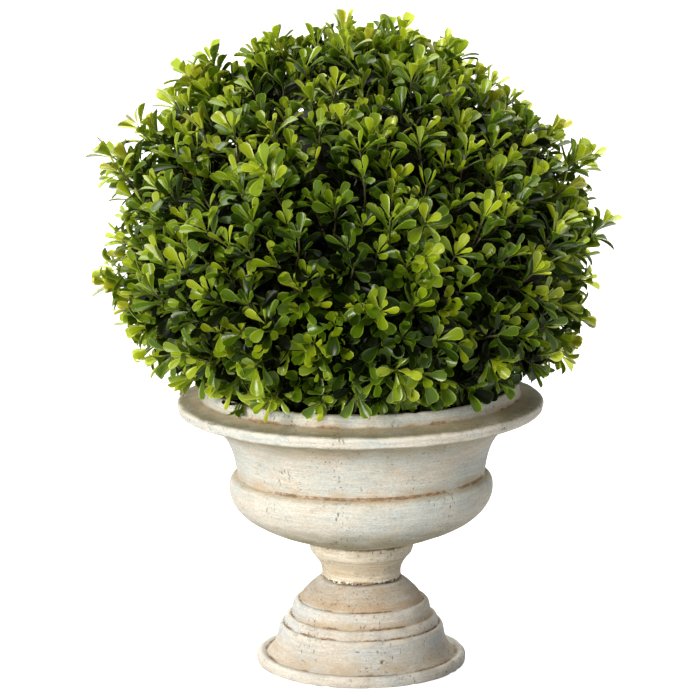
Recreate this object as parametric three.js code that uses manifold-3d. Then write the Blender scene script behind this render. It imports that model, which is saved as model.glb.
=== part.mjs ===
// Box topiary ball: an artificial clipped boxwood ball standing in an aged, limewashed urn.
// Millimetres, +Z up. The origin is the centre of the urn's flat underside, and -Y is the front.
//
// The urn is turned in three pieces, a stepped foot, a neck and a bowl, so each is a lathe solid.
// The bowl holds a plug of dark foam, the plug holds a short stem, and the stem holds one closed,
// uneven mass of clipped foliage, cut round the stem and clear of the bowl's raised lip. The bowl
// sits a little out of true on its neck, and leans to the left with all that it holds.
import * as THREE from 'three';
import { mergeVertices } from 'three/addons/utils/BufferGeometryUtils.js';
import Module from 'manifold-3d';

// ---- driving dimensions -------------------------------------------------------------------
const GAP = 0.3;                 // clearance kept between pieces that rest on each other
const TURNED_SIDES = 40;         // facets round the urn
const CURVE_STEPS = 3;           // straight steps in each curved stretch of a turned outline

const FOOT_RADIUS = 64.8;        // flat underside
const FOOT_TOP = 55.4;           // joint between foot and neck
const NECK_TOP = 81;             // joint between neck and bowl
const NECK_FOOT_RADIUS = 26;
const NECK_WAIST_RADIUS = 25;
const NECK_HEAD_RADIUS = 33;

const BELLY_RADIUS = 83.4;       // widest part of the lower bowl
const BELLY_Z = 114.5;
const WAIST_RADIUS = 78;         // crease above the belly, where the hollow wall starts
const WAIST_Z = 124;
const RIM_RADIUS = 114.5;        // widest part of the rolled rim
const RIM_Z = 168.5;
const LIP_RADIUS = 99.6;         // raised lip inside the rim
const LIP_TOP = 181.6;
const LIP_WALL = 5.2;
const BOWL_FLOOR = 90;           // inside of the bowl
const FILL_TOP = 168;            // top of the foam plug
const BOWL_LEAN = 0.45;          // degrees that the bowl and the plant lean towards -X

const STEM_FOOT_Z = 120;         // the stem stands this deep in the foam
const STEM_TOP_Z = 262;
const STEM_FOOT_RADIUS = 8;
const STEM_TOP_RADIUS = 5.5;
const STEM_SIDES = 12;

const BALL_CENTRE = new THREE.Vector3(-5, 0, 268);
const BALL_HALF_WIDTH = 147;     // to the hollows between the tufts, X and Y
const BALL_RISE = 134;           // middle to top, to the same hollows
const BALL_DROP = 150;           // middle to where its bottom would be, so the lower half is fuller
const BALL_DETAIL = 12;          // subdivision of the icosahedron that the ball starts from
const TUFT_COUNT = 190;
const TUFT_SPREAD = 0.19;        // radians from a tuft's tip to its edge
const TUFT_RISE_LEAST = 3;
const TUFT_RISE_MOST = 11;
const SKIRT_GAP = 1;             // height of the ball's flat underside over the lip

// Tufts that stand furthest out of the clipped outline: turn about +Z from +X and height above
// the ball's middle, both in degrees, and how far the tip reaches from the middle.
const STRAY_TUFTS = [
  { turn: 180, height: -7, reach: 165 },
  { turn: 184, height: 19, reach: 166 },
  { turn: 176, height: 33, reach: 156 },
  { turn: 2, height: 22, reach: 165 },
  { turn: -3, height: 8, reach: 163 },
  { turn: 4, height: -18, reach: 160 },
  { turn: -5, height: -33, reach: 156 },
  { turn: 181, height: 58, reach: 148 },
  { turn: 178, height: 71, reach: 147 },
  { turn: 95, height: 86, reach: 146 },
  { turn: 3, height: 64, reach: 145 },
  { turn: 70, height: 12, reach: 163 },
  { turn: 118, height: -12, reach: 162 },
  { turn: -72, height: 8, reach: 158 },
  { turn: -115, height: 26, reach: 156 },
];

// ---- materials ----------------------------------------------------------------------------
const limewash = new THREE.MeshStandardMaterial({ color: '#ddd6c6', roughness: 0.85, metalness: 0 });
const wornNeck = new THREE.MeshStandardMaterial({ color: '#d2c3a8', roughness: 0.85, metalness: 0 });
const foam = new THREE.MeshStandardMaterial({ color: '#23281a', roughness: 0.95, metalness: 0 });
const stemBrown = new THREE.MeshStandardMaterial({ color: '#4d4228', roughness: 0.8, metalness: 0 });
const leafGreen = new THREE.MeshStandardMaterial({ color: '#5d8a26', roughness: 0.5, metalness: 0 });

function addPiece(group, name, geometry, material) {
  const mesh = new THREE.Mesh(geometry, material);
  mesh.name = name;
  group.add(mesh);
}

// A solid turned about +Z from an outline of (radius, height) points that starts and ends on the axis.
function turned(points, sides) {
  const geometry = new THREE.LatheGeometry(points, sides);
  geometry.rotateX(Math.PI / 2);
  return geometry;
}

function outlineOf(path) {
  return path.getPoints(CURVE_STEPS);
}

// ---- urn foot: a rounded base band, a flared cone, two stepped rings and a small dome --------
function footOutline() {
  const path = new THREE.Path();
  path.moveTo(0, 0);
  path.lineTo(FOOT_RADIUS, 0);
  path.quadraticCurveTo(FOOT_RADIUS + 2.4, 5.2, 63.2, 7.6);
  path.lineTo(60.2, 6.8);
  path.quadraticCurveTo(54.2, 10, 52.4, 22);
  path.quadraticCurveTo(52, 26.2, 49.6, 26.2);
  path.lineTo(49, 25.6);
  path.quadraticCurveTo(48.8, 31.6, 45, 31.9);
  path.lineTo(44.2, 31.3);
  path.lineTo(43.6, 37);
  path.quadraticCurveTo(43, 41.6, 39.9, 41.6);
  path.lineTo(39.2, 41);
  path.quadraticCurveTo(37.8, 46.6, NECK_FOOT_RADIUS, FOOT_TOP);
  path.lineTo(0, FOOT_TOP);
  return outlineOf(path);
}

// ---- urn neck: a waisted spool between foot and bowl ----------------------------------------
function neckOutline() {
  const path = new THREE.Path();
  path.moveTo(0, FOOT_TOP + GAP);
  path.lineTo(NECK_FOOT_RADIUS, FOOT_TOP + GAP);
  path.quadraticCurveTo(NECK_WAIST_RADIUS - 0.4, 57, NECK_WAIST_RADIUS, 61);
  path.quadraticCurveTo(NECK_WAIST_RADIUS + 1, 66.5, 31.4, 72);
  path.quadraticCurveTo(NECK_HEAD_RADIUS + 0.4, 74.5, NECK_HEAD_RADIUS, NECK_TOP - 2 * GAP);
  path.lineTo(0, NECK_TOP - 2 * GAP);
  return outlineOf(path);
}

// ---- urn bowl ---------------------------------------------------------------------------------
// The bowl's inside, from its floor on the axis to the foot of the lip, drawn in by inset.
function cavityOutline(inset) {
  const path = new THREE.Path();
  path.moveTo(0, BOWL_FLOOR + inset);
  path.lineTo(28 - inset, BOWL_FLOOR + inset);
  path.quadraticCurveTo(72 - inset, 93 + inset, 74 - inset, 113);
  path.quadraticCurveTo(70 - inset, 118, 70 - inset, 128);
  path.quadraticCurveTo(72 - inset, 150, LIP_RADIUS - LIP_WALL - inset, 163);
  return outlineOf(path);
}

function bowlOutline() {
  const path = new THREE.Path();
  path.moveTo(0, NECK_TOP);
  path.lineTo(NECK_HEAD_RADIUS + 0.8, NECK_TOP);
  path.bezierCurveTo(56, 86.5, BELLY_RADIUS - 0.6, 96, BELLY_RADIUS, BELLY_Z);
  path.quadraticCurveTo(BELLY_RADIUS, 120.5, WAIST_RADIUS + 1.2, WAIST_Z - 1);
  path.lineTo(WAIST_RADIUS, WAIST_Z);
  path.bezierCurveTo(80, 139, 84, 156, 104, 161.5);
  path.quadraticCurveTo(RIM_RADIUS - 2, 163, RIM_RADIUS, RIM_Z);
  path.quadraticCurveTo(RIM_RADIUS + 0.3, 172.4, RIM_RADIUS - 2.2, 173);
  path.lineTo(LIP_RADIUS + 0.6, 174.4);
  path.quadraticCurveTo(LIP_RADIUS - 0.4, LIP_TOP, LIP_RADIUS - 2.6, LIP_TOP);
  path.quadraticCurveTo(LIP_RADIUS - LIP_WALL, LIP_TOP, LIP_RADIUS - LIP_WALL, 178);
  const outside = outlineOf(path);
  const inside = cavityOutline(0).reverse();
  return [...outside, ...inside];
}

// ---- foam plug, with a socket for the stem ----------------------------------------------------
function foamOutline() {
  const socketRadius = STEM_FOOT_RADIUS + GAP;
  return [
    ...cavityOutline(GAP),
    new THREE.Vector2(LIP_RADIUS - LIP_WALL - GAP, FILL_TOP),
    new THREE.Vector2(socketRadius, FILL_TOP),
    new THREE.Vector2(socketRadius, STEM_FOOT_Z),
    new THREE.Vector2(0, STEM_FOOT_Z),
  ];
}

// ---- stem: a tapered stick from the foam up into the foliage ------------------------------------
// grow widens it all round, for the hole that the foliage leaves for it.
function stemOutline(grow) {
  return [
    new THREE.Vector2(0, STEM_FOOT_Z + GAP - grow),
    new THREE.Vector2(STEM_FOOT_RADIUS + grow, STEM_FOOT_Z + GAP - grow),
    new THREE.Vector2(STEM_TOP_RADIUS + grow, STEM_TOP_Z + grow),
    new THREE.Vector2(0, STEM_TOP_Z + grow),
  ];
}

// ---- foliage ball ------------------------------------------------------------------------------
// A repeatable stream of numbers between 0 and 1, so that every build gives the same ball.
function seededRandom(seed) {
  let state = seed;
  return () => {
    state = (state * 1664525 + 1013904223) % 4294967296;
    return state / 4294967296;
  };
}

// How far the hollows between the tufts lie from the middle in a direction.
function hollowReach(direction) {
  const halfHeight = direction.z > 0 ? BALL_RISE : BALL_DROP;
  const across = (direction.x ** 2 + direction.y ** 2) / BALL_HALF_WIDTH ** 2;
  const up = direction.z ** 2 / halfHeight ** 2;
  return 1 / Math.sqrt(across + up);
}

// Tufts lie evenly round the ball on a golden-angle spiral, each shaken out of line, with its own rise.
function makeTufts() {
  const random = seededRandom(41);
  const goldenAngle = Math.PI * (3 - Math.sqrt(5));
  const tufts = [];
  for (let i = 0; i < TUFT_COUNT; i += 1) {
    const height = 1 - (2 * (i + 0.5)) / TUFT_COUNT + (random() - 0.5) * 0.02;
    const ring = Math.sqrt(Math.max(0, 1 - height * height));
    const turn = i * goldenAngle + (random() - 0.5) * 0.12 / Math.max(ring, 0.2);
    const tip = new THREE.Vector3(ring * Math.cos(turn), ring * Math.sin(turn), height).normalize();
    tufts.push({ tip, rise: THREE.MathUtils.lerp(TUFT_RISE_LEAST, TUFT_RISE_MOST, random()) });
  }
  for (const stray of STRAY_TUFTS) {
    const turn = THREE.MathUtils.degToRad(stray.turn);
    const height = THREE.MathUtils.degToRad(stray.height);
    const tip = new THREE.Vector3(
      Math.cos(height) * Math.cos(turn), Math.cos(height) * Math.sin(turn), Math.sin(height));
    tufts.push({ tip, rise: stray.reach - hollowReach(tip) });
  }
  return tufts;
}

// The rise of the surface over the hollows: the highest of the tufts that cover a direction.
function tuftRise(direction, tufts) {
  let rise = 0;
  for (const tuft of tufts) {
    const away = direction.angleTo(tuft.tip) / TUFT_SPREAD;
    if (away < 1) rise = Math.max(rise, tuft.rise * Math.cos(away * Math.PI / 2));
  }
  return rise;
}

function unevenBall() {
  const geometry = new THREE.IcosahedronGeometry(1, BALL_DETAIL);
  const tufts = makeTufts();
  const place = geometry.getAttribute('position');
  const direction = new THREE.Vector3();
  for (let i = 0; i < place.count; i += 1) {
    direction.fromBufferAttribute(place, i).normalize();
    const reach = hollowReach(direction) + tuftRise(direction, tufts);
    direction.multiplyScalar(reach).add(BALL_CENTRE);
    place.setXYZ(i, direction.x, direction.y, direction.z);
  }
  return geometry;
}

// The space below the ball: under its flat skirt outside the lip, and under the foam's top inside it.
function spaceUnderBall() {
  const plugRadius = LIP_RADIUS - LIP_WALL - GAP;
  const outer = BALL_HALF_WIDTH * 1.5;
  return [
    new THREE.Vector2(0, 0),
    new THREE.Vector2(outer, 0),
    new THREE.Vector2(outer, LIP_TOP + SKIRT_GAP),
    new THREE.Vector2(plugRadius, LIP_TOP + SKIRT_GAP),
    new THREE.Vector2(plugRadius, FILL_TOP + GAP),
    new THREE.Vector2(0, FILL_TOP + GAP),
  ];
}

// ---- solid cutting -----------------------------------------------------------------------------
const wasm = await Module();
wasm.setup();

function toSolid(geometry) {
  const bare = geometry.clone();
  bare.deleteAttribute('normal');
  bare.deleteAttribute('uv');
  const merged = mergeVertices(bare, 1e-4);
  return new wasm.Manifold(new wasm.Mesh({
    numProp: 3,
    vertProperties: new Float32Array(merged.getAttribute('position').array),
    triVerts: new Uint32Array(merged.getIndex().array),
  }));
}

function toGeometry(solid) {
  const mesh = solid.getMesh();
  const geometry = new THREE.BufferGeometry();
  geometry.setAttribute('position', new THREE.BufferAttribute(mesh.vertProperties, 3));
  geometry.setIndex(new THREE.BufferAttribute(mesh.triVerts, 1));
  geometry.computeVertexNormals();
  return geometry;
}

function foliageBall() {
  const ball = toSolid(unevenBall());
  const under = toSolid(turned(spaceUnderBall(), TURNED_SIDES));
  const stemHole = toSolid(turned(stemOutline(GAP), STEM_SIDES));
  return toGeometry(ball.subtract(under).subtract(stemHole));
}

// ---- the assembly --------------------------------------------------------------------------------
const part = new THREE.Group();
addPiece(part, 'urn_foot', turned(footOutline(), TURNED_SIDES), limewash);
addPiece(part, 'urn_neck', turned(neckOutline(), TURNED_SIDES), wornNeck);

// The bowl and what it holds are modelled upright, then turned together about the joint on the neck.
const leaning = new THREE.Group();
leaning.position.z = NECK_TOP;
leaning.rotation.y = THREE.MathUtils.degToRad(-BOWL_LEAN);
part.add(leaning);
const upright = new THREE.Group();
upright.position.z = -NECK_TOP;
leaning.add(upright);
addPiece(upright, 'urn_bowl', turned(bowlOutline(), TURNED_SIDES), limewash);
addPiece(upright, 'foam_plug', turned(foamOutline(), TURNED_SIDES), foam);
addPiece(upright, 'stem', turned(stemOutline(0), STEM_SIDES), stemBrown);
addPiece(upright, 'foliage_ball', foliageBall(), leafGreen);

export default part;
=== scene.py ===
"""An artificial box topiary ball, standing in an aged, limewashed pedestal urn.

Metres, +Z up. The urn is turned in three pieces from the outlines below. The ball is a dark moulded
core on a short stem, plugged all over with sprigs that fork into stalks, each with its whorls of
spoon-shaped leaves.
"""
import math

import bmesh
import bpy
import numpy as np
from mathutils import Matrix, Vector, noise


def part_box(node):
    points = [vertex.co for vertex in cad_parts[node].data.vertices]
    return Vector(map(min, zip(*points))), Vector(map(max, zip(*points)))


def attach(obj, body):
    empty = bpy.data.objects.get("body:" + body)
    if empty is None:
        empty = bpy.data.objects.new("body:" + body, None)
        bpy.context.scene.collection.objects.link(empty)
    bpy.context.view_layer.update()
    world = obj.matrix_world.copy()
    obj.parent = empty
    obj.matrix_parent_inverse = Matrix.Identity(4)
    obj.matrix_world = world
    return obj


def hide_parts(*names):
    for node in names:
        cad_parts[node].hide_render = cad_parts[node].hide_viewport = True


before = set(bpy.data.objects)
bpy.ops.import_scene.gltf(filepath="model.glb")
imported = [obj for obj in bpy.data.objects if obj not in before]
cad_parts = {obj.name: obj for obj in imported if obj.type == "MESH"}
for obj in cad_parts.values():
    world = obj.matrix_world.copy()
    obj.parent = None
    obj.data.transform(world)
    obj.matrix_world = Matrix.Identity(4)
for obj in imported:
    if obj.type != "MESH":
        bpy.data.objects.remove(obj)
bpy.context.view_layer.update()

MM = 0.001
BODY = "root"

# ---- places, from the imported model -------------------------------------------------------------
foot_low, foot_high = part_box("urn_foot")
neck_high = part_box("urn_neck")[1]
stem_low, stem_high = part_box("stem")
FOOT_BASE = foot_low.z / MM
NECK_BASE = foot_high.z / MM
JOINT_GAP = 0.6                                # between the neck's top and the bowl
BOWL_BASE = neck_high.z / MM + JOINT_GAP
BOWL_LEAN = math.radians(-0.45)                # the bowl, and all it holds, leans a little to -X
LEAN = (
    Matrix.Translation((0, 0, BOWL_BASE * MM))
    @ Matrix.Rotation(BOWL_LEAN, 4, "Y")
    @ Matrix.Translation((0, 0, -BOWL_BASE * MM))
)

# ---- outlines of the turned pieces -------------------------------------------------------------
# Each outline starts on the axis at (0, 0) and is (radius, height) in millimetres over the piece's
# own base. A stretch is its spacing, then any control points, then its end.
FINE = 0.8
COARSE = 7.0

FOOT_OUTLINE = [
    (COARSE, (64.6, 0)),
    (FINE, (66.4, 0.8), (66.4, 3.6)),
    (FINE, (66.4, 7.2), (63.6, 7.8)),
    (FINE, (60.2, 6.6)),
    (FINE, (54.2, 10), (52.4, 22)),
    (FINE, (52, 26.2), (49.6, 26.2)),
    (FINE, (49, 25.6)),
    (FINE, (48.8, 31.6), (45, 31.9)),
    (FINE, (44.2, 31.3)),
    (FINE, (43.6, 37)),
    (FINE, (43, 41.6), (39.9, 41.6)),
    (FINE, (39.2, 41)),
    (FINE, (37.8, 46.6), (26, 55.4)),
    (COARSE, (0, 55.4)),
]
NECK_OUTLINE = [
    (COARSE, (26, 0)),
    (FINE, (24.6, 1.6), (25, 5.6)),
    (FINE, (26, 11.1), (31.4, 16.6)),
    (FINE, (33.4, 19.1), (33, 25.3)),
    (COARSE, (0, 25.3)),
]
BOWL_OUTLINE = [
    (COARSE, (33.8, 0)),
    (FINE, (56, 5.5), (82.8, 15), (83.4, 33.5)),
    (FINE, (83.4, 39.5), (79.2, 42)),
    (FINE, (78, 43)),
    (FINE, (80, 58), (84, 75), (104, 80.5)),
    (FINE, (113.2, 81.6), (114.3, 84.2)),
    (FINE, (114.9, 87.6)),
    (FINE, (115, 89.7), (112.9, 89.9)),
    (FINE, (106, 90.4), (100.4, 93.2)),
    (FINE, (99.6, 100.6), (97.4, 100.6)),
    (FINE, (94.4, 100.6), (94.4, 97)),
    (COARSE, (94.4, 82)),
    (COARSE, (72, 69), (70, 47)),
    (COARSE, (70, 37), (74, 32)),
    (COARSE, (72, 12), (28, 9)),
    (COARSE, (0, 9)),
]
FOAM_OUTLINE = [
    (COARSE, (27.7, 0)),
    (COARSE, (71.7, 3), (73.7, 22.7)),
    (COARSE, (69.7, 27.7), (69.7, 37.7)),
    (COARSE, (71.7, 59.7), (94.1, 72.7)),
    (COARSE, (94.1, 77.7)),
    (2.5, (8.3, 77.7)),
    (COARSE, (8.3, 29.7)),
    (COARSE, (0, 29.7)),
]
FOAM_BASE = BOWL_BASE + 9.3


def on_curve(points, share):
    """The point at a share of the way along a Bezier curve."""
    while len(points) > 1:
        points = [a.lerp(b, share) for a, b in zip(points, points[1:])]
    return points[0]


def outline_points(stretches):
    """An outline as evenly spaced points, with its corners worn round."""
    points = [Vector((0, 0))]
    for spacing, *rest in stretches:
        curve = [points[-1]] + [Vector(point) for point in rest]
        length = sum((b - a).length for a, b in zip(curve, curve[1:]))
        steps = max(1, round(length / spacing))
        points += [on_curve(curve, (i + 1) / steps) for i in range(steps)]
    for _ in range(2):
        inner = zip(points, points[1:], points[2:])
        points = [points[0]] + [a * 0.2 + b * 0.6 + c * 0.2 for a, b, c in inner] + [points[-1]]
    return points


def turned_mesh(name, points, base, sides):
    """A closed solid turned about +Z from an outline."""
    shape = bmesh.new()
    line = [shape.verts.new((point.x * MM, 0, (point.y + base) * MM)) for point in points]
    for a, b in zip(line, line[1:]):
        shape.edges.new((a, b))
    bmesh.ops.spin(
        shape, geom=shape.verts[:] + shape.edges[:], axis=(0, 0, 1), cent=(0, 0, 0),
        angle=math.tau, steps=sides, use_merge=True,
    )
    bmesh.ops.remove_doubles(shape, verts=shape.verts[:], dist=0.001 * MM)
    bmesh.ops.recalc_face_normals(shape, faces=shape.faces[:])
    mesh = bpy.data.meshes.new(name)
    shape.to_mesh(mesh)
    shape.free()
    return mesh


# ---- ageing of the turned pieces ---------------------------------------------------------------
CREASE = (1.0, 0.20)      # mm felt to each side, and mm of hollow that counts as a full crease
HOLLOW = (6.5, 1.5)       # the same for the wide hollow round a crease
JOINT_REACH = 3.4         # mm of damage to each side of a joint
LEVEL = 0.98              # how level a face has to be to count as standing on the ground
# Sizes in mm of what hands, the lathe and wear leave in the surface
HAND_WAVE = 36
HAND_RIPPLE = 9
TURNED_RIDGE = 26
TURNED_ACROSS = (1, 1, 17)     # ridges run round the piece, so they are this much finer up it
CREASE_GRIT = 4
EDGE_CHIP = 6
JOINT_CRUMB = 4


def hollowness(points, reach, depth):
    """How hollow the outline is at each point: +1 in a full crease, -1 on a full edge."""
    place = np.array([tuple(point) for point in points])
    step = np.diff(place, axis=0)
    along = np.concatenate([[0], np.cumsum(np.hypot(step[:, 0], step[:, 1]))])
    result = np.zeros(len(place))
    for i, here in enumerate(along):
        before = [np.interp(here - reach, along, place[:, k]) for k in (0, 1)]
        after = [np.interp(here + reach, along, place[:, k]) for k in (0, 1)]
        run = np.subtract(after, before)
        outward = np.array([run[1], -run[0]]) / max(np.hypot(*run), 1e-6)
        middle = np.add(before, after) / 2
        result[i] = np.dot(middle - place[i], outward) / depth
    return np.clip(result, -1, 1)


def noise_at(places, size, seed, stretch=(1, 1, 1)):
    """Smooth noise of about -1 to 1 with features of one size in millimetres."""
    scaled = places / (size * MM) * np.array(stretch) + seed
    return np.array([noise.noise(Vector(place)) for place in scaled])


def age(mesh, points, base, joints, unevenness, turning, seed):
    """Moves the surface as hand finishing and wear do, and keeps where its creases and edges are.

    Each joint is a radius and a height in mm, and how badly it has crumbled, from 0 to 1.
    """
    count = len(mesh.vertices)
    places = np.zeros(count * 3)
    mesh.vertices.foreach_get("co", places)
    places = places.reshape(-1, 3)
    normals = np.zeros(count * 3)
    mesh.vertices.foreach_get("normal", normals)
    normals = normals.reshape(-1, 3)
    outline = np.array([(point.x, point.y + base) for point in points]) * MM
    around = np.hypot(places[:, 0], places[:, 1])
    away = (around[:, None] - outline[:, 0]) ** 2 + (places[:, 2:] - outline[:, 1]) ** 2
    nearest = away.argmin(axis=1)
    fine = hollowness(points, *CREASE)[nearest]
    crease = np.clip(fine, 0, 1)
    edge = np.clip(-fine, 0, 1)
    hollow = np.clip(hollowness(points, *HOLLOW)[nearest], 0, 1)
    joint = np.zeros(count)
    for radius, height, damage in joints:
        from_joint = np.hypot(around / MM - radius, places[:, 2] / MM - height)
        joint = np.maximum(joint, damage * np.clip(1 - from_joint / JOINT_REACH, 0, 1))
    raise_by = unevenness * noise_at(places, HAND_WAVE, seed)
    raise_by += unevenness * 0.4 * noise_at(places, HAND_RIPPLE, seed + 7)
    raise_by += turning * noise_at(places, TURNED_RIDGE, seed + 13, TURNED_ACROSS)
    raise_by -= crease * (0.15 + 0.35 * noise_at(places, CREASE_GRIT, seed + 19))
    raise_by -= edge * 1.6 * np.clip(noise_at(places, EDGE_CHIP, seed + 23) - 0.22, 0, 1)
    raise_by -= joint * 2.4 * np.clip(noise_at(places, JOINT_CRUMB, seed + 29) + 0.10, 0, 1)
    # nothing moves on the axis itself or on the flat underside
    off_axis = np.clip(around / (12 * MM), 0, 1)
    on_the_ground = np.abs(normals[:, 2]) > LEVEL
    raise_by = np.where(on_the_ground & (places[:, 2] < 0.5 * MM), 0, raise_by * off_axis)
    places += normals * raise_by[:, None] * MM
    mesh.vertices.foreach_set("co", places.ravel())
    # 0 on walls and slopes, 1 on faces within about 25 degrees of level, up or down; on the bowl this
    # mask carries painted shade as well as settled dust
    ledge = np.clip((np.abs(normals[:, 2]) - 0.55) / 0.35, 0, 1)
    wear_and_shade_masks = {"crease": crease, "edge": edge, "hollow": hollow, "joint": joint, "ledge": ledge}
    for name, values in wear_and_shade_masks.items():
        layer = mesh.attributes.new(name, "FLOAT", "POINT")
        layer.data.foreach_set("value", values.astype(np.float32))
    mesh.update()


def finished(mesh, materials, slot, *nodes, lean=False, sharp=None):
    """Links a mesh as a piece of the object, on its body and in place of its CAD nodes."""
    if lean:
        mesh.transform(LEAN)
    mesh.shade_smooth()
    if sharp:
        mesh.set_sharp_from_angle(angle=math.radians(sharp))
    for material in materials:
        mesh.materials.append(material)
    piece = bpy.data.objects.new(mesh.name, mesh)
    bpy.context.scene.collection.objects.link(piece)
    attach(piece, BODY)
    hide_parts(*nodes)
    return piece


# ---- materials ---------------------------------------------------------------------------------
def colour(code):
    """An sRGB hex colour as the linear values that a shader takes."""
    channels = [int(code[i:i + 2], 16) / 255 for i in (1, 3, 5)]
    linear = [c / 12.92 if c <= 0.04045 else ((c + 0.055) / 1.055) ** 2.4 for c in channels]
    return (*linear, 1)


def per_metre(size):
    """The texture scale that gives features of a size in millimetres."""
    return 1 / (size * MM)


def new_material(name):
    """An empty node material."""
    material = bpy.data.materials.new(name)
    material.use_nodes = True
    material.node_tree.nodes.clear()
    return material


def add(owner, kind, inputs=(), **settings):
    """A node of a material or a world, its inputs set to values or linked from other nodes' sockets."""
    node = owner.node_tree.nodes.new("ShaderNode" + kind)
    for name, value in settings.items():
        setattr(node, name, value)
    for name, value in dict(inputs).items():
        if isinstance(value, bpy.types.NodeSocket):
            owner.node_tree.links.new(value, node.inputs[name])
        else:
            node.inputs[name].default_value = value
    return node


def aged_limewash(name, cream, pale, rubbed, ledge_dust_and_shade, rubbed_share, turning_lines, tan_above=None):
    """Cast stone composite, brushed with thin limewash over a tan body, then rubbed and stained.

    The eye gets broad patches of cream and cold grey-white, horizontal brush lines, tan where the
    wash is rubbed thin, broken brown stain in every crease, and clusters of small dark pits. Each
    cloud's size is in mm. The ledge colour goes on faces near level, up or down: settled dust, and on
    the bowl also painted shade, under the rim and on the rim's top where the ball shades it. Above the
    height tan_above, in mm, the tan body shows through.
    """
    material = new_material(name)
    place = add(material, "TexCoord").outputs["Object"]

    def stretched(factors):
        inputs = {0: place, 1: factors}
        return add(material, "VectorMath", inputs, operation="MULTIPLY").outputs["Vector"]

    def cloud(size, where=place, detail=3.0, distortion=0.0, roughness=0.55):
        inputs = {
            "Vector": where, "Scale": per_metre(size), "Detail": detail,
            "Roughness": roughness, "Distortion": distortion,
        }
        return add(material, "TexNoise", inputs).outputs["Fac"]

    def between(value, low, high, to_low=0.0, to_high=1.0):
        inputs = {"Value": value, 1: low, 2: high, 3: to_low, 4: to_high}
        return add(material, "MapRange", inputs, interpolation_type="SMOOTHSTEP").outputs[0]

    def maths(operation, a, b):
        return add(material, "Math", {0: a, 1: b}, operation=operation).outputs[0]

    def mixed(share, a, b, blend="MIX"):
        inputs = {0: share, 6: a, 7: b}
        return add(material, "Mix", inputs, data_type="RGBA", blend_type=blend).outputs[2]

    def wear_and_shade_masks(name):
        return add(material, "Attribute", attribute_name=name).outputs["Fac"]

    crease, edge, hollow, joint = wear_and_shade_masks("crease"), wear_and_shade_masks("edge"), wear_and_shade_masks("hollow"), wear_and_shade_masks("joint")
    ledge = wear_and_shade_masks("ledge")
    along_turn = stretched((1, 1, 2.2))
    brushed = stretched((1, 1, 14))
    hair_lines = stretched((1, 1, 24))
    scratched = stretched((1, 1, 5))
    upright = stretched((1, 1, 0.35))

    # limewash: cream, with cold thin patches about 50 mm across
    wash = mixed(between(cloud(50, along_turn, 4.0), 0.42, 0.60), colour(cream), colour(pale))
    # rubbed through to the tan body in flat patches and in finer blotches
    thin = between(cloud(36, along_turn, 9.0, 0.2, 0.72), 0.64 - rubbed_share, 0.84 - rubbed_share)
    fine_rub = between(cloud(2.4, along_turn, 4.0, 0.0, 0.7), 0.34, 0.64, 0.40, 0.85)
    rubbing = maths("MULTIPLY", thin, fine_rub)
    wash = mixed(rubbing, wash, colour(rubbed))
    blotch = between(cloud(6, along_turn, 5.0, 0.0, 0.75), 0.48, 0.74)
    wash = mixed(maths("MULTIPLY", blotch, 0.18), wash, colour(rubbed))
    hairs = between(cloud(14, hair_lines, 3.0), 0.56, 0.68)
    hairs = maths("MULTIPLY", hairs, between(cloud(22), 0.42, 0.60, 0.1, 1.0))
    wash = mixed(maths("MULTIPLY", hairs, 0.60), wash, colour(rubbed))
    if tan_above:
        height = add(material, "SeparateXYZ", {0: place}).outputs["Z"]
        upper = between(height, (tan_above - 1) * MM, (tan_above + 1) * MM)
        upper = maths("MULTIPLY", upper, between(cloud(14, along_turn, 4.0), 0.30, 0.60, 0.45, 0.95))
        wash = mixed(upper, wash, colour("#baa07e"))
    # what settles on faces near level, up or down, and painted shade there: under the rim, and on the
    # rim's top where the ball shades it
    settled_and_shaded = maths("MULTIPLY", ledge, between(cloud(15, place, 4.0), 0.30, 0.60, 0.45, 0.9))
    wash = mixed(settled_and_shaded, wash, colour(ledge_dust_and_shade))
    # brush lines about 1 mm apart and 15 mm long, and an uneven grain
    lines = between(cloud(17, brushed, 4.0), 0.36, 0.66, 1.0 - turning_lines, 1.0 + turning_lines * 0.3)
    mottle = between(cloud(1.6, along_turn, 3.0, 0.0, 0.8), 0.34, 0.66, 0.80, 1.07)
    shade = maths("MULTIPLY", lines, mottle)
    grey = add(material, "CombineXYZ", {0: shade, 1: shade, 2: shade}).outputs[0]
    wash = mixed(1.0, wash, grey, "MULTIPLY")
    # edges that hands have rubbed pale, and a painted highlight along them
    pale_edge_and_highlight = between(cloud(9), 0.35, 0.6, 0.0, 0.6)
    wash = mixed(maths("MULTIPLY", edge, pale_edge_and_highlight), wash, colour("#ece4d4"))
    # tan stain spread through the hollows, and brown stain pooled in the creases, broken along them
    uneven = between(cloud(13, along_turn, 8.0, 0.0, 0.72), 0.34, 0.62, 0.1, 1.0)
    spread = maths("MULTIPLY", hollow, uneven)
    wash = mixed(maths("MULTIPLY", spread, 0.72), wash, colour("#bca685"))
    runs = between(cloud(30, place, 2.0), 0.40, 0.60, 0.15, 1.0)
    ragged = between(cloud(3.5, along_turn, 4.0, 0.0, 0.7), 0.36, 0.62, 0.55, 1.35)
    pool = maths("MULTIPLY", maths("MULTIPLY", crease, runs), ragged)
    wash = mixed(between(pool, 0.22, 0.85, 0.0, 0.85), wash, colour("#97795a"))
    wash = mixed(between(pool, 0.80, 1.30, 0.0, 0.6), wash, colour("#6b5136"))
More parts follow.
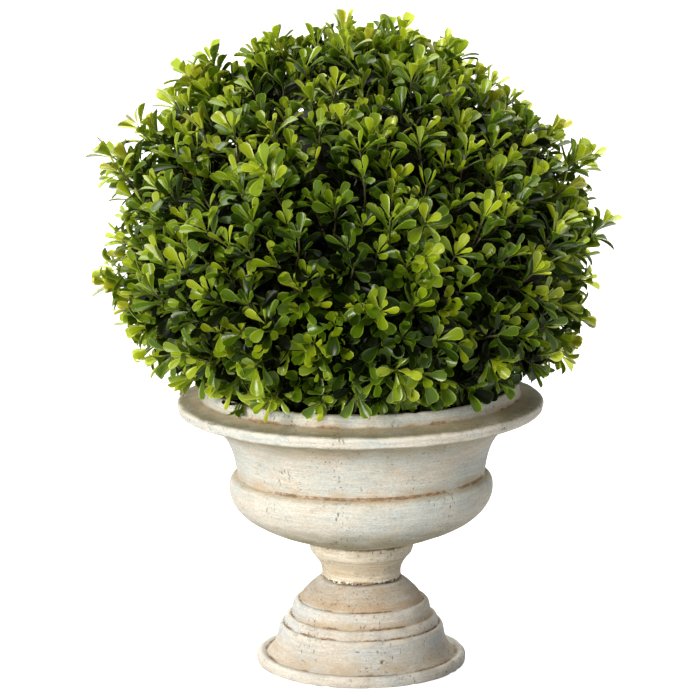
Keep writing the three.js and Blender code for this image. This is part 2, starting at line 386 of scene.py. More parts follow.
    # joints: brown stain, with black where the filling has crumbled out
    seam = between(maths("MULTIPLY", joint, between(cloud(7), 0.3, 0.6, 0.6, 1.3)), 0.14, 0.36)
    chipped = mixed(between(cloud(6), 0.44, 0.56), colour("#98764f"), colour("#ece2cc"))
    wash = mixed(maths("MULTIPLY", seam, 0.75), wash, chipped)
    crumbs = between(cloud(4.2, place, 5.0, 0.0, 0.75), 0.46, 0.54, 0.2, 1.0)
    crumbled = maths("MULTIPLY", joint, crumbs)
    wash = mixed(between(crumbled, 0.30, 0.46), wash, colour("#2b231b"))
    # pits and scratches in clusters, short upright ticks, and specks
    cluster = between(cloud(19, place, 2.0), 0.50, 0.60)
    pit = maths("MULTIPLY", between(cloud(3.4, place, 5.0, 0.0, 0.75), 0.61, 0.68), cluster)
    scratch = between(cloud(4.5, scratched, 2.0), 0.68, 0.75)
    scratch = maths("MULTIPLY", scratch, between(cloud(26, along_turn), 0.47, 0.57))
    tick = between(cloud(1.6, upright, 2.0), 0.60, 0.69)
    tick = maths("MULTIPLY", tick, between(cloud(24), 0.52, 0.60))
    speck = between(cloud(1.5, place, 2.0), 0.64, 0.76)
    speck = maths("MULTIPLY", speck, between(cloud(33), 0.44, 0.62))
    marks = maths("MAXIMUM", pit, maths("MULTIPLY", scratch, 0.85))
    marks = maths("MAXIMUM", marks, maths("MULTIPLY", tick, 0.8))
    marks = maths("MAXIMUM", marks, maths("MULTIPLY", speck, 0.24))
    wash = mixed(maths("MULTIPLY", marks, 0.8), wash, colour("#5d4d3a"))

    # relief: an open grain, the brush lines, and the marks sunk in
    grain = maths("MULTIPLY", cloud(1.3, place, 2.0), 0.45)
    brush_lines = maths("MULTIPLY", cloud(12, brushed, 4.0), 0.6)
    relief = maths("ADD", grain, brush_lines)
    relief = maths("SUBTRACT", relief, maths("MULTIPLY", marks, 0.9))
    bump = add(material, "Bump", {"Height": relief, "Strength": 0.8, "Distance": 0.5 * MM})
    rough = between(cloud(8), 0.3, 0.7, 0.70, 0.88)
    shader = add(material, "BsdfPrincipled", {
        "Base Color": wash, "Roughness": rough, "Normal": bump.outputs[0], "IOR": 1.5,
        "Specular IOR Level": 0.35,
    })
    add(material, "OutputMaterial", {"Surface": shader.outputs[0]})
    return material


def moulded_leaf(name, blade, gloss, through):
    """Polyethylene leaf, injection moulded and thin: soft gloss, with a little light coming through."""
    material = new_material(name)
    shader = add(material, "BsdfPrincipled", {
        "Base Color": colour(blade), "Roughness": 0.28, "IOR": 1.5, "Specular IOR Level": gloss,
        "Transmission Weight": through,
    })
    add(material, "OutputMaterial", {"Surface": shader.outputs[0]})
    return material


def moulded_stalk(name, brown):
    """Polyethylene stalk, moulded in a darker olive brown than the leaves, with a dull gloss."""
    material = new_material(name)
    shader = add(material, "BsdfPrincipled", {
        "Base Color": colour(brown), "Roughness": 0.5, "IOR": 1.5})
    add(material, "OutputMaterial", {"Surface": shader.outputs[0]})
    return material


def open_cell_foam(name):
    """Phenolic florist's foam, cut and pressed: dull, very dark green, with crumbled cells."""
    material = new_material(name)
    place = add(material, "TexCoord").outputs["Object"]
    cells = add(material, "TexVoronoi", {"Vector": place, "Scale": per_metre(1.6)}).outputs["Distance"]
    greens = {0: cells, 6: colour("#12160c"), 7: colour("#2c331d")}
    tint = add(material, "Mix", greens, data_type="RGBA")
    bump = add(material, "Bump", {"Height": cells, "Strength": 0.8, "Distance": 0.6 * MM})
    shader = add(material, "BsdfPrincipled", {
        "Base Color": tint.outputs[2], "Roughness": 0.95, "Normal": bump.outputs[0],
        "Specular IOR Level": 0.15,
    })
    add(material, "OutputMaterial", {"Surface": shader.outputs[0]})
    return material


def moulded_bark(name):
    """Polyethylene stem moulded with a bark grain: dull brown, darker in its furrows."""
    material = new_material(name)
    place = add(material, "TexCoord").outputs["Object"]
    upright = add(material, "VectorMath", {0: place, 1: (1, 1, 0.2)}, operation="MULTIPLY").outputs[0]
    furrows = add(material, "TexNoise", {
        "Vector": upright, "Scale": per_metre(2.5), "Detail": 4.0}).outputs["Fac"]
    browns = {0: furrows, 6: colour("#2c2416"), 7: colour("#6a5a3a")}
    tint = add(material, "Mix", browns, data_type="RGBA")
    bump = add(material, "Bump", {"Height": furrows, "Strength": 0.7, "Distance": 0.8 * MM})
    shader = add(material, "BsdfPrincipled", {
        "Base Color": tint.outputs[2], "Roughness": 0.75, "Normal": bump.outputs[0]})
    add(material, "OutputMaterial", {"Surface": shader.outputs[0]})
    return material


# ---- the urn -----------------------------------------------------------------------------------
foot_points = outline_points(FOOT_OUTLINE)
neck_points = outline_points(NECK_OUTLINE)
bowl_points = outline_points(BOWL_OUTLINE)
foam_points = outline_points(FOAM_OUTLINE)
# radius, height and damage of the neck's joints with the foot and with the bowl
FOOT_JOINT = (26, NECK_BASE - 0.2, 1.0)
BOWL_JOINT = (33.4, BOWL_BASE - 0.3, 0.40)

DOME_BASE = 42               # mm: the foot's dome above this is rubbed to the tan body
SHARP_ANGLE = 50             # degrees, over which an edge of the urn stays sharp
FOOT_SIDES = 224             # of the foot and of the neck
BOWL_SIDES = 320
FOAM_SIDES = 96

# the bowl's olive ledge colour is settled dust and painted shade: on the rim's top in the ball's shadow,
# and under the rim
bowl_wash = aged_limewash(
    "aged_limewash_bowl", cream="#dcd7ca", pale="#d0d6d1", rubbed="#c6b89e", ledge_dust_and_shade="#a69c7a",
    rubbed_share=0.06, turning_lines=0.12,
)
foot_wash = aged_limewash(
    "aged_limewash_foot", cream="#d8d2c6", pale="#ced3d2", rubbed="#bda98c", ledge_dust_and_shade="#d0d0ca",
    rubbed_share=0.12, turning_lines=0.10, tan_above=DOME_BASE,
)
neck_wash = aged_limewash(
    "aged_limewash_neck", cream="#dcd2bc", pale="#dfd9c8", rubbed="#c3ae89", ledge_dust_and_shade="#baa582",
    rubbed_share=0.12, turning_lines=0.16,
)

foot_mesh = turned_mesh("foot", foot_points, FOOT_BASE, FOOT_SIDES)
age(foot_mesh, foot_points, FOOT_BASE, joints=[], unevenness=0.30, turning=0.06, seed=3.1)
finished(foot_mesh, [foot_wash], "urn", "urn_foot", sharp=SHARP_ANGLE)

neck_mesh = turned_mesh("neck", neck_points, NECK_BASE, FOOT_SIDES)
neck_joints = [FOOT_JOINT, BOWL_JOINT]
age(neck_mesh, neck_points, NECK_BASE, neck_joints, unevenness=0.30, turning=0.14, seed=11.7)
finished(neck_mesh, [neck_wash], "urn", "urn_neck", sharp=SHARP_ANGLE)

bowl_mesh = turned_mesh("bowl", bowl_points, BOWL_BASE, BOWL_SIDES)
age(bowl_mesh, bowl_points, BOWL_BASE, [BOWL_JOINT], unevenness=0.40, turning=0.07, seed=23.9)
finished(bowl_mesh, [bowl_wash], "urn", "urn_bowl", lean=True, sharp=SHARP_ANGLE)

# ---- foam, stem and core -----------------------------------------------------------------------
foam_mesh = turned_mesh("foam", foam_points, FOAM_BASE, FOAM_SIDES)
foam_cells = open_cell_foam("open_cell_foam")
finished(foam_mesh, [foam_cells], "foam", "foam_plug", lean=True, sharp=SHARP_ANGLE)

STEM_RADII = (8.0, 5.5)      # mm, at its foot and at its top
STEM_SIDES = 28
STEM_RINGS = 40
BARK_FURROW = 3              # mm
BARK_DEPTH = 0.5             # mm


def stem_mesh():
    """A short tapered stick with a moulded bark grain in its surface."""
    shape = bmesh.new()
    height = stem_high.z - stem_low.z
    bmesh.ops.create_cone(
        shape, cap_ends=True, cap_tris=False, segments=STEM_SIDES,
        radius1=STEM_RADII[0] * MM, radius2=STEM_RADII[1] * MM, depth=height,
    )
    sides = [edge for edge in shape.edges if abs(edge.verts[0].co.z - edge.verts[1].co.z) > height / 2]
    bmesh.ops.subdivide_edges(shape, edges=sides, cuts=STEM_RINGS, use_grid_fill=True)
    bmesh.ops.translate(shape, verts=shape.verts[:], vec=(0, 0, stem_low.z + height / 2))
    for vert in shape.verts:
        out = Vector((vert.co.x, vert.co.y, 0))
        grain = noise.noise(Vector((vert.co.x, vert.co.y, vert.co.z * 0.2)) * per_metre(BARK_FURROW))
        vert.co += out.normalized() * grain * BARK_DEPTH * MM
    mesh = bpy.data.meshes.new("stem_stick")
    shape.to_mesh(mesh)
    shape.free()
    return mesh


finished(stem_mesh(), [moulded_bark("moulded_bark")], "stem", "stem", lean=True)

BALL_CENTRE = Vector((-5, 0, BOWL_BASE + 187))    # mm, before the lean
CORE_RADIUS = 88.0
SOCKET_SIZE = 9              # mm, of the dimples in the core
ROUGH_SIZE = 6


def core_mesh():
    """The moulded ball that the sprigs plug into, dimpled all over by their sockets."""
    shape = bmesh.new()
    bmesh.ops.create_icosphere(shape, subdivisions=6, radius=CORE_RADIUS * MM)
    for vert in shape.verts:
        dimple = noise.cell(vert.co * per_metre(SOCKET_SIZE))
        rough = noise.noise(vert.co * per_metre(ROUGH_SIZE))
        vert.co *= 1 + (rough * 1.2 - dimple * 1.0) / CORE_RADIUS
    bmesh.ops.smooth_vert(
        shape, verts=shape.verts[:], factor=0.5, use_axis_x=True, use_axis_y=True, use_axis_z=True,
    )
    bmesh.ops.translate(shape, verts=shape.verts[:], vec=BALL_CENTRE * MM)
    mesh = bpy.data.meshes.new("sprig_core")
    shape.to_mesh(mesh)
    shape.free()
    return mesh


dark_core = moulded_stalk("moulded_core", "#0d1207")
finished(core_mesh(), [dark_core], "foliage", "foliage_ball", lean=True)

# ---- foliage -----------------------------------------------------------------------------------
BALL_HALF_WIDTH = 147.0      # mm from the middle of the ball to the hollows of its clipped outline
BALL_RISE = 134.0
BALL_DROP = 150.0
DEEPEST_TIP = -17.0          # mm that spray tips reach past those hollows, at the least
FURTHEST_TIP = 7.5           # and at the most
SPRAY_COUNT = 930            # stalk tips over the whole ball, before the part over the urn is left out
SPRIG_COUNT = 230            # plugs in the core
FORK_REACH = 15.0            # mm from the core to where a sprig forks
LEAF_LENGTH = 16.4           # mm
LEAF_WIDTH = 7.6
LIP_RADIUS = 101.0
LIP_TOP = BOWL_BASE + 101.6
RIM_RADIUS = 116.0
RIM_TOP = BOWL_BASE + 92.0

# Sprays that stand furthest out of the clipped outline: turn about +Z from +X and height above the
# ball's middle, both in degrees, and how far their leaf tips reach from the middle.
STRAYS = [
    (180, -7, 165), (182, 23, 171), (178, 31, 164), (2, 22, 167), (-3, 8, 164), (4, -18, 161),
    (-2, -28, 161), (-1, -7, 157), (180, 47, 159), (181, 55, 154), (178, 71, 147), (95, 86, 146),
    (3, 64, 148), (1, 77, 147), (70, 12, 163), (118, -12, 162), (-72, 8, 158), (-115, 26, 156),
]

# Where the clipped outline swells: turn and height in degrees, and by how many millimetres.
SWELLS = [(180, 46, 8), (0, -12, 6), (0, 76, 4)]
SWELL_WIDTH = 0.36           # radians

COMPANIONS = 3               # shorter sprays beside each stray
COLLAR_COUNT = 72            # sprays that lie on the urn's lip
TUCKED_COUNT = 66            # sprays behind it
OVER_LIP = (-77.0, -77.0, LIP_TOP - 9)     # the one spray that hangs out over the lip

random = np.random.default_rng(20)


def unit(vectors):
    """Vectors brought to a length of 1."""
    return vectors / np.linalg.norm(vectors, axis=-1, keepdims=True)


def spiral(count, shake):
    """Directions spread evenly over a sphere, each shaken out of line."""
    i = np.arange(count)
    height = 1 - (2 * i + 1) / count
    turn = i * math.pi * (3 - math.sqrt(5))
    ring = np.sqrt(1 - height ** 2)
    even = np.stack([ring * np.cos(turn), ring * np.sin(turn), height], axis=1)
    return unit(even + random.normal(0, shake, even.shape))


def towards(places):
    """Directions from a turn about +Z and a height, both in degrees."""
    turn = np.radians([place[0] for place in places])
    height = np.radians([place[1] for place in places])
    return np.stack([np.cos(height) * np.cos(turn), np.cos(height) * np.sin(turn), np.sin(height)], 1)


def hollow_reach(directions):
    """How far the hollows of the clipped outline lie from the ball's middle."""
    half_height = np.where(directions[:, 2] > 0, BALL_RISE, BALL_DROP)
    across = (directions[:, 0] ** 2 + directions[:, 1] ** 2) / BALL_HALF_WIDTH ** 2
    reach = 1 / np.sqrt(across + directions[:, 2] ** 2 / half_height ** 2)
    for middle, swell in zip(towards(SWELLS), SWELLS):
        apart = np.arccos(np.clip(directions @ middle, -1, 1))
        reach += swell[2] * np.exp(-(apart / SWELL_WIDTH) ** 2)
    return reach


def spray_tips():
    """Direction and reach of every spray, and whether it is a stray or stands beside one."""
    even = spiral(SPRAY_COUNT, 0.022)
    reach = hollow_reach(even) + random.uniform(DEEPEST_TIP, FURTHEST_TIP, len(even))
    # none reaches below the lip's top, and none is wanted right inside the lip
    floor = LIP_TOP + 6
    low = even[:, 2] * reach + BALL_CENTRE.z < floor
    reach = np.where(low, (floor - BALL_CENTRE.z) / np.minimum(even[:, 2], -0.1), reach)
    around = np.hypot(even[:, 0], even[:, 1]) * reach
    keep = (around > LIP_RADIUS - 16) | (even[:, 2] > 0)
    even, reach = even[keep], reach[keep]
    # strays, each with a few shorter sprays beside it
    strays = towards(STRAYS)
    stray_reach = np.array([stray[2] for stray in STRAYS], float)
    beside = np.repeat(strays, COMPANIONS, axis=0)
    beside = unit(beside + random.normal(0, 0.075, beside.shape))
    beside_reach = np.repeat(stray_reach, COMPANIONS) - random.uniform(5, 13, len(beside))
    # the collar: sprays that lie on the urn's lip
    turn = np.arange(COLLAR_COUNT) * math.tau / COLLAR_COUNT + random.uniform(-0.03, 0.03, COLLAR_COUNT)
    out = random.uniform(LIP_RADIUS - 10, LIP_RADIUS + 3, COLLAR_COUNT)
    height = LIP_TOP + random.uniform(5, 15, COLLAR_COUNT)
    collar = np.stack([out * np.cos(turn), out * np.sin(turn), height], axis=1)
    # and those tucked in behind the lip
    turn = (np.arange(TUCKED_COUNT) + random.uniform(-0.3, 0.3, TUCKED_COUNT)) * math.tau / TUCKED_COUNT
    out = random.uniform(LIP_RADIUS - 16, LIP_RADIUS - 9, TUCKED_COUNT)
    height = LIP_TOP + random.uniform(-4, 4, TUCKED_COUNT)
    tucked = np.stack([out * np.cos(turn), out * np.sin(turn), height], axis=1)
    collar = np.concatenate([collar, tucked, [OVER_LIP]]) - np.array(BALL_CENTRE)
    directions = np.concatenate([even, beside, strays, unit(collar)])
    reach = np.concatenate([reach, beside_reach, stray_reach, np.linalg.norm(collar, axis=1)])
    place = np.arange(len(directions)) - len(even)
    return directions, reach, (place >= 0) & (place < len(beside) + len(strays))


directions, reach, is_stray = spray_tips()
spray_count = len(directions)
centre = np.array(BALL_CENTRE)

# each spray leans up from straight out, as if growing to the light, except near the underside
upward = np.interp(directions[:, 2], [-0.6, -0.25, 0.2, 0.9], [0.0, 0.40, 0.95, 0.60])
upward = np.where(is_stray, upward * 0.4, upward)
axes = directions + upward[:, None] * np.array([0, 0, 1.0])
axes = unit(axes + random.normal(0, 0.20, axes.shape))
leaf_tips = centre + directions * reach[:, None]
stalk_ends = leaf_tips - axes * (LEAF_LENGTH * 0.80)

# every spray belongs to the sprig whose plug lies nearest below it
plugs = spiral(SPRIG_COUNT, 0.03)
roots = unit(directions - 0.30 * upward[:, None] * np.array([0, 0, 1.0]))
owner = (roots @ plugs.T).argmax(axis=1)
plug_out = plugs[owner]
forks = centre + plug_out * (CORE_RADIUS + FORK_REACH)
span = np.linalg.norm(stalk_ends - forks, axis=1, keepdims=True)
stalk_curve = [forks, forks + plug_out * span * 0.35, stalk_ends - axes * span * 0.38, stalk_ends]


def along_stalks(curve, share):
    """Points and directions of travel on every stalk at a share of its way."""
    a, b, c, d = curve
    s = np.asarray(share, float).reshape(-1, 1)
    point = (1 - s) ** 3 * a + 3 * s * (1 - s) ** 2 * b + 3 * s ** 2 * (1 - s) * c + s ** 3 * d
    travel = (1 - s) ** 2 * (b - a) + 2 * s * (1 - s) * (c - b) + s ** 2 * (d - c)
    return point, unit(travel)


def square_to(axis):
    """Two directions square to each axis and to each other."""
    helper = np.where(np.abs(axis[:, 2:]) < 0.9, [[0, 0, 1.0]], [[1.0, 0, 0]])
    side = unit(np.cross(helper, axis))
    return side, np.cross(axis, side)


def mesh_from(name, places, faces, slots):
    """A mesh from arrays: faces are lists of quads and triangles with their material slots."""
    mesh = bpy.data.meshes.new(name)
    corners = np.concatenate([face.ravel() for face in faces])
    sizes = np.concatenate([np.full(len(face), face.shape[1]) for face in faces])
    starts = np.concatenate([[0], np.cumsum(sizes)[:-1]])
    mesh.vertices.add(len(places))
    mesh.vertices.foreach_set("co", (places * MM).astype(np.float32).ravel())
    mesh.loops.add(len(corners))
    mesh.loops.foreach_set("vertex_index", corners.astype(np.int32))
    mesh.polygons.add(len(sizes))
    mesh.polygons.foreach_set("loop_start", starts.astype(np.int32))
    mesh.polygons.foreach_set("loop_total", sizes.astype(np.int32))
    mesh.polygons.foreach_set("material_index", np.concatenate(slots).astype(np.int32))
    mesh.update(calc_edges=True)
    return mesh


# ---- stalks ------------------------------------------------------------------------------------
STALK_SIDES = 5


def tubes(rings, radii):
    """Closed tapering tubes: rings is (tube, ring, 3) and radii is (ring,)."""
    count, steps = rings.shape[:2]
    travel = unit(np.gradient(rings, axis=1)).reshape(-1, 3)
    side, other = square_to(travel)
    turn = np.arange(STALK_SIDES) * math.tau / STALK_SIDES
    ring = (side[:, None] * np.cos(turn)[:, None] + other[:, None] * np.sin(turn)[:, None])
    ring = ring.reshape(count, steps, STALK_SIDES, 3) * np.asarray(radii)[None, :, None, None]
    walls = (rings[:, :, None] + ring).reshape(count, -1, 3)
    places = np.concatenate([walls, rings[:, :1], rings[:, -1:]], axis=1)
    size = places.shape[1]
    k = np.arange(STALK_SIDES)
    after = (k + 1) % STALK_SIDES
    quads = []
    for s in range(steps - 1):
        low, high = s * STALK_SIDES, (s + 1) * STALK_SIDES
        quads.append(np.stack([low + k, low + after, high + after, high + k], axis=1))
    last = (steps - 1) * STALK_SIDES
    foot = np.stack([after, k, np.full(STALK_SIDES, size - 2)], axis=1)
    head = np.stack([last + k, last + after, np.full(STALK_SIDES, size - 1)], axis=1)
    return places, np.concatenate(quads), np.concatenate([foot, head])


def repeat_faces(faces, count, size, start=0):
    """One shape's faces repeated for many copies, each with its own run of vertices."""
    offsets = start + np.arange(count)[:, None, None] * size
    return (faces[None] + offsets).reshape(-1, faces.shape[1])


def stalks_mesh():
    """The stalks of every spray, and the stub that each sprig plugs in with."""
    shares = np.linspace(0, 1, 7)
    rings = np.stack([along_stalks(stalk_curve, np.full(spray_count, s))[0] for s in shares], axis=1)
    branch = tubes(rings, np.interp(shares, [0, 1], [1.05, 0.55]))
    used = np.unique(owner)
    below = centre + plugs[used] * (CORE_RADIUS - 3)
    above = centre + plugs[used] * (CORE_RADIUS + FORK_REACH + 0.5)
    trunk = tubes(np.stack([below, (below + above) / 2, above], axis=1), [1.7, 1.5, 1.25])
    places, quads, triangles, start = [], [], [], 0
    for tube_places, tube_quads, tube_triangles in (branch, trunk):
        count, size = tube_places.shape[:2]
        quads.append(repeat_faces(tube_quads, count, size, start))
        triangles.append(repeat_faces(tube_triangles, count, size, start))
        places.append(tube_places.reshape(-1, 3))
        start += count * size
    faces = [np.concatenate(quads), np.concatenate(triangles)]
    return mesh_from("sprig_stalks", np.concatenate(places), faces, [np.zeros(len(f)) for f in faces])


olive_stalk = moulded_stalk("moulded_stalk", "#413d1c")
finished(stalks_mesh(), [olive_stalk], "foliage", "foliage_ball", lean=True)

# ---- leaves ------------------------------------------------------------------------------------
# Half width of a leaf as a share of its widest, at shares of its length: narrow foot, spoon blade.
LEAF_ROWS = np.array([0.0, 0.20, 0.42, 0.62, 0.80, 0.92, 0.975])
LEAF_HALF = np.array([0.12, 0.16, 0.46, 0.82, 1.0, 0.86, 0.55])
RIM_SHARE = 0.82             # where the blade ends and the thicker, lighter rim starts; its lighter colour is the rim's own tone and partly a painted highlight along the edge
CUP = 0.34                   # how far the rims stand up, as a share of the half width
RIB_DEPTH = 0.35             # mm that the midrib is sunk


def leaf_pattern(columns):
    """Rows and columns of one leaf, with its quads, its tip triangles and which strips are rim."""
    width = len(columns)
    rows = len(LEAF_ROWS)
    across = np.tile(columns, rows)
    along = np.repeat(LEAF_ROWS, width)
    half = np.repeat(LEAF_HALF, width)
    strip = np.arange(width - 1)
    quads = [
        np.stack([r * width + strip, r * width + strip + 1,
                  (r + 1) * width + strip + 1, (r + 1) * width + strip], axis=1)
        for r in range(rows - 1)
    ]
    top = (rows - 1) * width
    tip = np.stack([top + strip, top + strip + 1, np.full(width - 1, rows * width)], axis=1)
    middle = (np.abs(columns[:-1] + columns[1:]) / 2 > RIM_SHARE).astype(int)
    return {
        "across": np.append(across * half, 0.0), "bare": np.append(across, 0.0),
        "along": np.append(along, 1.0), "quads": np.concatenate(quads), "tip": tip,
        "rim": np.concatenate([np.tile(middle, rows - 1), np.ones_like(middle)]),
    }


FULL_LEAF = leaf_pattern(np.array([-1, -RIM_SHARE, 0, RIM_SHARE, 1.0]))
PLAIN_LEAF = leaf_pattern(np.array([-1, 0, 1.0]))


def place_leaves(pattern, foot, axis, facing, length, width, bend):
    """Leaves bent along their length: axis runs up the leaf's foot and facing is its upper side."""
    side = np.cross(axis, facing)
    share = pattern["along"][None]
    turn = bend[:, None] * share
    safe = np.where(np.abs(bend) < 1e-3, 1e-3, bend)[:, None]
    up_leaf = length[:, None] * np.sin(turn) / safe
    away = length[:, None] * (1 - np.cos(turn)) / safe
    half = width[:, None] / 2
    across = pattern["across"][None] * half
    cup = CUP * np.abs(pattern["across"][None]) * half * np.abs(pattern["bare"][None])
    rib = RIB_DEPTH * (1 - np.abs(pattern["bare"][None])) * np.sin(math.pi * share)
    lift = cup - rib
    normal = (facing[:, None] * np.cos(turn)[..., None] + axis[:, None] * np.sin(turn)[..., None])
    return (
        foot[:, None] + axis[:, None] * up_leaf[..., None] - facing[:, None] * away[..., None]
        + side[:, None] * across[..., None] + normal * lift[..., None]
    )


# Tones from golden tip to dark inner leaf: blade, its lighter rim, how glossy both are, and how much
# of the light comes through. The deep and shade tones are painted shade for leaves down in the
# foliage, and each rim's lighter colour is partly a painted highlight along the leaf's edge.
LEAF_TONES = [
    ("golden", "#a9ab1c", "#c8c85e", 0.40, 0.42),
    ("spring", "#b2c41a", "#d2dd62", 0.40, 0.42),
    ("fresh", "#8aa510", "#b8ca48", 0.40, 0.38),
    ("middle", "#527008", "#87a130", 0.34, 0.30),
    ("deep", "#253903", "#4b6616", 0.18, 0.20),
    ("shade", "#0b1202", "#1f2e07", 0.05, 0.10),
]
leaf_materials = []
for tone_name, blade, rim, gloss, through in LEAF_TONES:
    leaf_materials.append(moulded_leaf("leaf_" + tone_name, blade, gloss, through))
    # the rim's lighter colour: the moulded rim's own tone, and partly a painted highlight along the edge
    leaf_materials.append(moulded_leaf("leaf_" + tone_name + "_rim", rim, gloss, through))

# Whorls down each stalk from its tip: distance from the tip in mm, number of leaves, their lean from
# the stalk in degrees, length as a share of a full leaf, steps down the tones (painted shade for the
# whorls lower in the foliage), whether fully shaped.
WHORLS = [
    (0.0, 2, 13, 0.70, 0, True),
    (1.0, 2, 27, 0.95, 0, True),
    (2.6, 2, 42, 1.04, 1, True),
    (10.0, 4, 43, 1.06, 2, True),
    (20.0, 4, 50, 1.00, 4, False),
    (30.0, 4, 54, 1.00, 5, False),
    (40.0, 3, 58, 0.95, 5, False),
]

# Shares of golden, spring, fresh and middle sprays: lightest on the crown and much of both sides,
# -X above all, and darkest round the urn's lip. Lighter on the crown is young growth and painted light
# from above; lighter on -X, towards the key, is painted light; lighter at the sides is a painted glow
# of backlit leaves; darker round the lip is painted shade under the ball.
SHARES = {
    "crown": [0.05, 0.55, 0.29, 0.11],
    "flank": [0.01, 0.35, 0.40, 0.24],
    "skirt": [0.0, 0.16, 0.42, 0.42],
}
dealt = {place: random.choice(4, size=spray_count, p=share) for place, share in SHARES.items()}
# the crown's shares also go to the sprays on -X, and to some of those at both sides: painted light on the
# lit -X side, and a painted glow at the backlit sides
in_crown = random.random(spray_count) < np.maximum(
    np.interp(directions[:, 2], [0.25, 0.75], [0, 1]),
    np.interp(-directions[:, 0] - 0.3 * directions[:, 2], [0.25, 0.85], [0, 0.85]),
)
at_side = random.random(spray_count) < np.interp(np.abs(directions[:, 0]), [0.50, 1.0], [0, 0.55])
in_crown |= at_side
in_skirt = random.random(spray_count) < np.interp(directions[:, 2], [-0.5, -0.15], [1, 0])
in_skirt &= directions[:, 0] > -0.35
tone_of_spray = np.select([in_crown, in_skirt], [dealt["crown"], dealt["skirt"]], dealt["flank"])
# strays are golden or spring: young growth, and a painted glow where they stand out backlit
tone_of_spray = np.where(is_stray, random.choice([0, 1], size=spray_count), tone_of_spray)
# golden sprays are only at the sides and on top: a painted glow where leaves are backlit at the outline
facing_front_or_back = (np.abs(directions[:, 0]) < 0.6) & (directions[:, 2] < 0.7)
tone_of_spray = np.where(facing_front_or_back, np.maximum(tone_of_spray, 1), tone_of_spray)
# the darkest tone down each stalk: strays and side sprays stay lighter, a painted glow of the light that
# comes through them
deepest = np.select([is_stray, at_side], [3, 4], 5)
# the collar, the tucked sprays and the one over the lip are never lighter than fresh: painted shade under
# the ball
last_on_lip = np.arange(spray_count) >= spray_count - COLLAR_COUNT - TUCKED_COUNT - 1
tone_of_spray = np.where(last_on_lip, np.maximum(tone_of_spray, 2), tone_of_spray)
spin_of_spray = random.uniform(0, math.tau, spray_count)
size_of_spray = random.uniform(0.88, 1.1, spray_count)
openness = random.uniform(0.70, 1.22, spray_count)


def grow_leaves():
    """Every leaf of every whorl as arrays, keyed by whether it is fully shaped."""
    grown = {True: [], False: []}
    stalk_length = span[:, 0] * 1.08
    for order, (down, number, lean, length, painted_shade_steps, full) in enumerate(WHORLS):
        spaced = down + (random.uniform(-1.5, 1.5, spray_count) if down > 5 else 0)
        has_room = stalk_length > down + 3
        share = np.clip(1 - spaced / stalk_length, 0, 1)
        foot, axis = along_stalks(stalk_curve, share)
        side, other = square_to(axis)
        for k in range(number):
            turn = spin_of_spray + order * math.pi / 2 * (1 if number == 2 else 0.5)
            turn = turn + k * math.tau / number + random.normal(0, 0.16, spray_count)
            out = side * np.cos(turn)[:, None] + other * np.sin(turn)[:, None]
            tilt = np.radians(lean * openness + random.normal(0, 7, spray_count))[:, None]
            bend = np.radians(random.normal(34 if down > 2 else 16, 16, spray_count))
            leaf_axis = axis * np.cos(tilt) + out * np.sin(tilt)
            facing = axis * np.sin(tilt) - out * np.cos(tilt)
            twist = random.normal(0, 0.22, spray_count)[:, None]
            facing = unit(facing + np.cross(leaf_axis, facing) * twist)
            long = LEAF_LENGTH * length * size_of_spray * random.uniform(0.9, 1.08, spray_count)
            wide = LEAF_WIDTH * length * size_of_spray * random.uniform(0.70, 1.10, spray_count)
            # each whorl further down the stalk takes a darker tone: painted shade deep in the foliage
            tone = tone_of_spray + painted_shade_steps + (random.random(spray_count) < 0.2)
            tone = np.clip(tone, 0, deepest)
            keep = has_room & (random.random(spray_count) > (0.03 if full else 0.08))
            columns = (
                foot + out * 0.5, leaf_axis, facing, long, wide, bend, tone.astype(int),
                np.arange(spray_count),
            )
            grown[full].append([column[keep] for column in columns])
    return {full: [np.concatenate(column) for column in zip(*rows)] for full, rows in grown.items()}


def rest_on_urn(places, hangs):
    """Lifts the leaves that would sink into the urn, so that they lie on its lip, or on its rim."""
    around = np.hypot(places[..., 0], places[..., 1])
    # lowest place allowed at each radius: on the rim for the hanging spray, on the lip for the rest
    over_rim = np.interp(
        around, [LIP_RADIUS, LIP_RADIUS + 2, RIM_RADIUS, RIM_RADIUS + 6],
        [LIP_TOP + 0.8, RIM_TOP + 4, RIM_TOP + 1, RIM_TOP - 8],
    )
    on_lip = np.interp(
        around, [LIP_RADIUS - 9, LIP_RADIUS - 7, LIP_RADIUS + 8, RIM_RADIUS + 2],
        [LIP_TOP - 11, LIP_TOP + 0.8, LIP_TOP + 0.8, RIM_TOP],
    )
    floor = np.where(hangs[:, None], over_rim, on_lip)
    under = np.clip(floor - places[..., 2], 0, None)
    places[..., 2] += under * 0.92
    return places


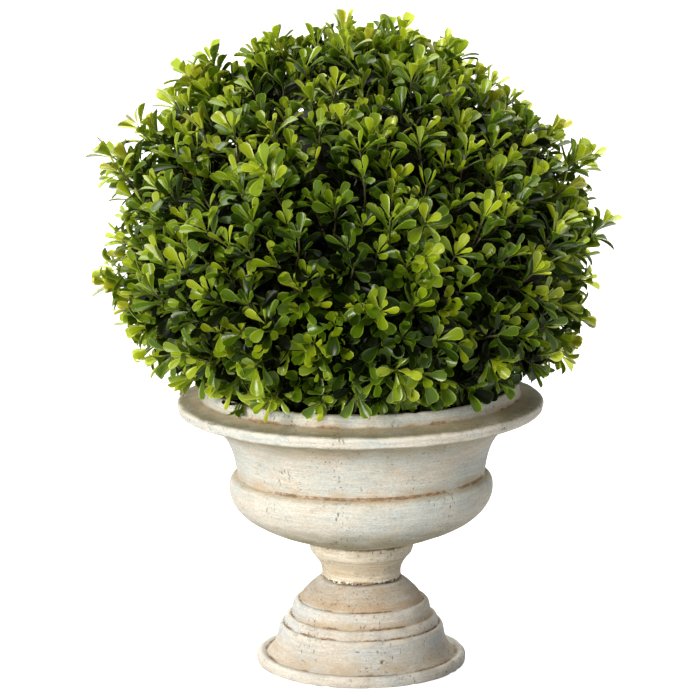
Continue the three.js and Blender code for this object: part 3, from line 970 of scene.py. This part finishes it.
SECTORS = 5                  # pieces that the leaves are joined into, by their turn about +Z
turn_of_spray = np.arctan2(directions[:, 1], directions[:, 0]) % math.tau
sector_ends = np.quantile(turn_of_spray, np.arange(1, SECTORS) / SECTORS)
sector_of_spray = np.searchsorted(sector_ends, turn_of_spray)
grown = grow_leaves()
for sector in range(SECTORS):
    places, quads, triangles, quad_slots, triangle_slots, start = [], [], [], [], [], 0
    for pattern, columns in ((FULL_LEAF, grown[True]), (PLAIN_LEAF, grown[False])):
        here = sector_of_spray[columns[7]] == sector
        foot, axis, facing, long, wide, bend, tone, spray = [column[here] for column in columns]
        shaped = place_leaves(pattern, foot, axis, facing, long, wide, bend)
        shaped = rest_on_urn(shaped, spray == spray_count - 1)
        count, size = shaped.shape[:2]
        quads.append(repeat_faces(pattern["quads"], count, size, start))
        triangles.append(repeat_faces(pattern["tip"], count, size, start))
        slot = tone[:, None] * 2 + pattern["rim"][None]
        quad_slots.append(slot[:, :len(pattern["quads"])].ravel())
        triangle_slots.append(slot[:, len(pattern["quads"]):].ravel())
        places.append(shaped.reshape(-1, 3))
        start += count * size
    leaves = mesh_from(
        f"leaves_{sector + 1}", np.concatenate(places),
        [np.concatenate(quads), np.concatenate(triangles)],
        [np.concatenate(quad_slots), np.concatenate(triangle_slots)],
    )
    finished(leaves, leaf_materials, "foliage", "foliage_ball", lean=True)

# ---- stage: floor, light and camera ------------------------------------------------------------
scene = bpy.context.scene
scene.view_settings.view_transform = "Standard"


def seen_directly(owner):
    """1 where the camera sees a surface, straight or through a leaf, and 0 where only its light lands."""
    path = add(owner, "LightPath").outputs
    rays = {0: path["Is Camera Ray"], 1: path["Is Transmission Ray"]}
    return add(owner, "Math", rays, operation="MAXIMUM").outputs[0]


def matt_white_paper(name):
    """Matt backdrop paper: it bounces light as a pale grey one does, and glows pure white to the eye."""
    material = new_material(name)
    paper = add(material, "BsdfPrincipled", {
        "Base Color": colour("#c8c8c8"), "Roughness": 1.0, "Specular IOR Level": 0.0})
    glow = add(material, "Emission", {"Color": (1, 1, 1, 1), "Strength": 1.0})
    lit = add(material, "AddShader", {0: paper.outputs[0], 1: glow.outputs[0]})
    either = add(material, "MixShader", {
        0: seen_directly(material), 1: paper.outputs[0], 2: lit.outputs[0]})
    add(material, "OutputMaterial", {"Surface": either.outputs[0]})
    return material


FLOOR_HALF_WIDTH = 40        # metres, so that its far edge lies at the horizon

floor_shape = bmesh.new()
bmesh.ops.create_grid(floor_shape, x_segments=1, y_segments=1, size=FLOOR_HALF_WIDTH)
floor_mesh = bpy.data.meshes.new("floor")
floor_shape.to_mesh(floor_mesh)
floor_shape.free()
floor_mesh.materials.append(matt_white_paper("matt_white_paper"))
floor = bpy.data.objects.new("floor", floor_mesh)
scene.collection.objects.link(floor)

world = bpy.data.worlds.new("white_room")
scene.world = world
world.use_nodes = True
world.node_tree.nodes.clear()
fill = add(world, "Background", {"Color": colour("#fffdf8"), "Strength": 0.15})
backdrop = add(world, "Background", {"Color": (1, 1, 1, 1), "Strength": 1.05})
either = add(world, "MixShader", {0: seen_directly(world), 1: fill.outputs[0], 2: backdrop.outputs[0]})
add(world, "OutputWorld", {"Surface": either.outputs[0]})


def soft_sun(name, shines, strength, spread, tint):
    """A distant soft light that shines along a direction."""
    data = bpy.data.lights.new(name, "SUN")
    data.energy = strength
    data.angle = math.radians(spread)
    data.color = colour(tint)[:3]
    light = bpy.data.objects.new(name, data)
    light.rotation_euler = Vector(shines).to_track_quat("-Z", "Y").to_euler()
    scene.collection.objects.link(light)


# the key comes from the front left, and the rest soften its shadows and light the leaves from behind
soft_sun("key", (0.57, 0.82, -0.31), 3.5, 26, "#fffaf3")
soft_sun("top", (0.18, -0.42, -0.89), 3.0, 60, "#ffffff")
soft_sun("back_right", (-0.60, -0.70, -0.32), 0.6, 80, "#ffffff")
soft_sun("back_left", (0.60, -0.70, -0.32), 0.8, 80, "#ffffff")

CAMERA_LENS = 192.7          # mm, on a sensor 36 mm wide
CAMERA_PLACE = Vector((-0.0072, -2.3, 0.67))
CAMERA_AIM = Vector((-0.0072, 0, 0.2015))

camera_data = bpy.data.cameras.new("camera")
camera_data.lens = CAMERA_LENS
camera_data.sensor_width = 36
camera_data.clip_end = 100
camera = bpy.data.objects.new("camera", camera_data)
camera.location = CAMERA_PLACE
camera.rotation_euler = (CAMERA_AIM - CAMERA_PLACE).to_track_quat("-Z", "Y").to_euler()
scene.collection.objects.link(camera)
scene.camera = camera
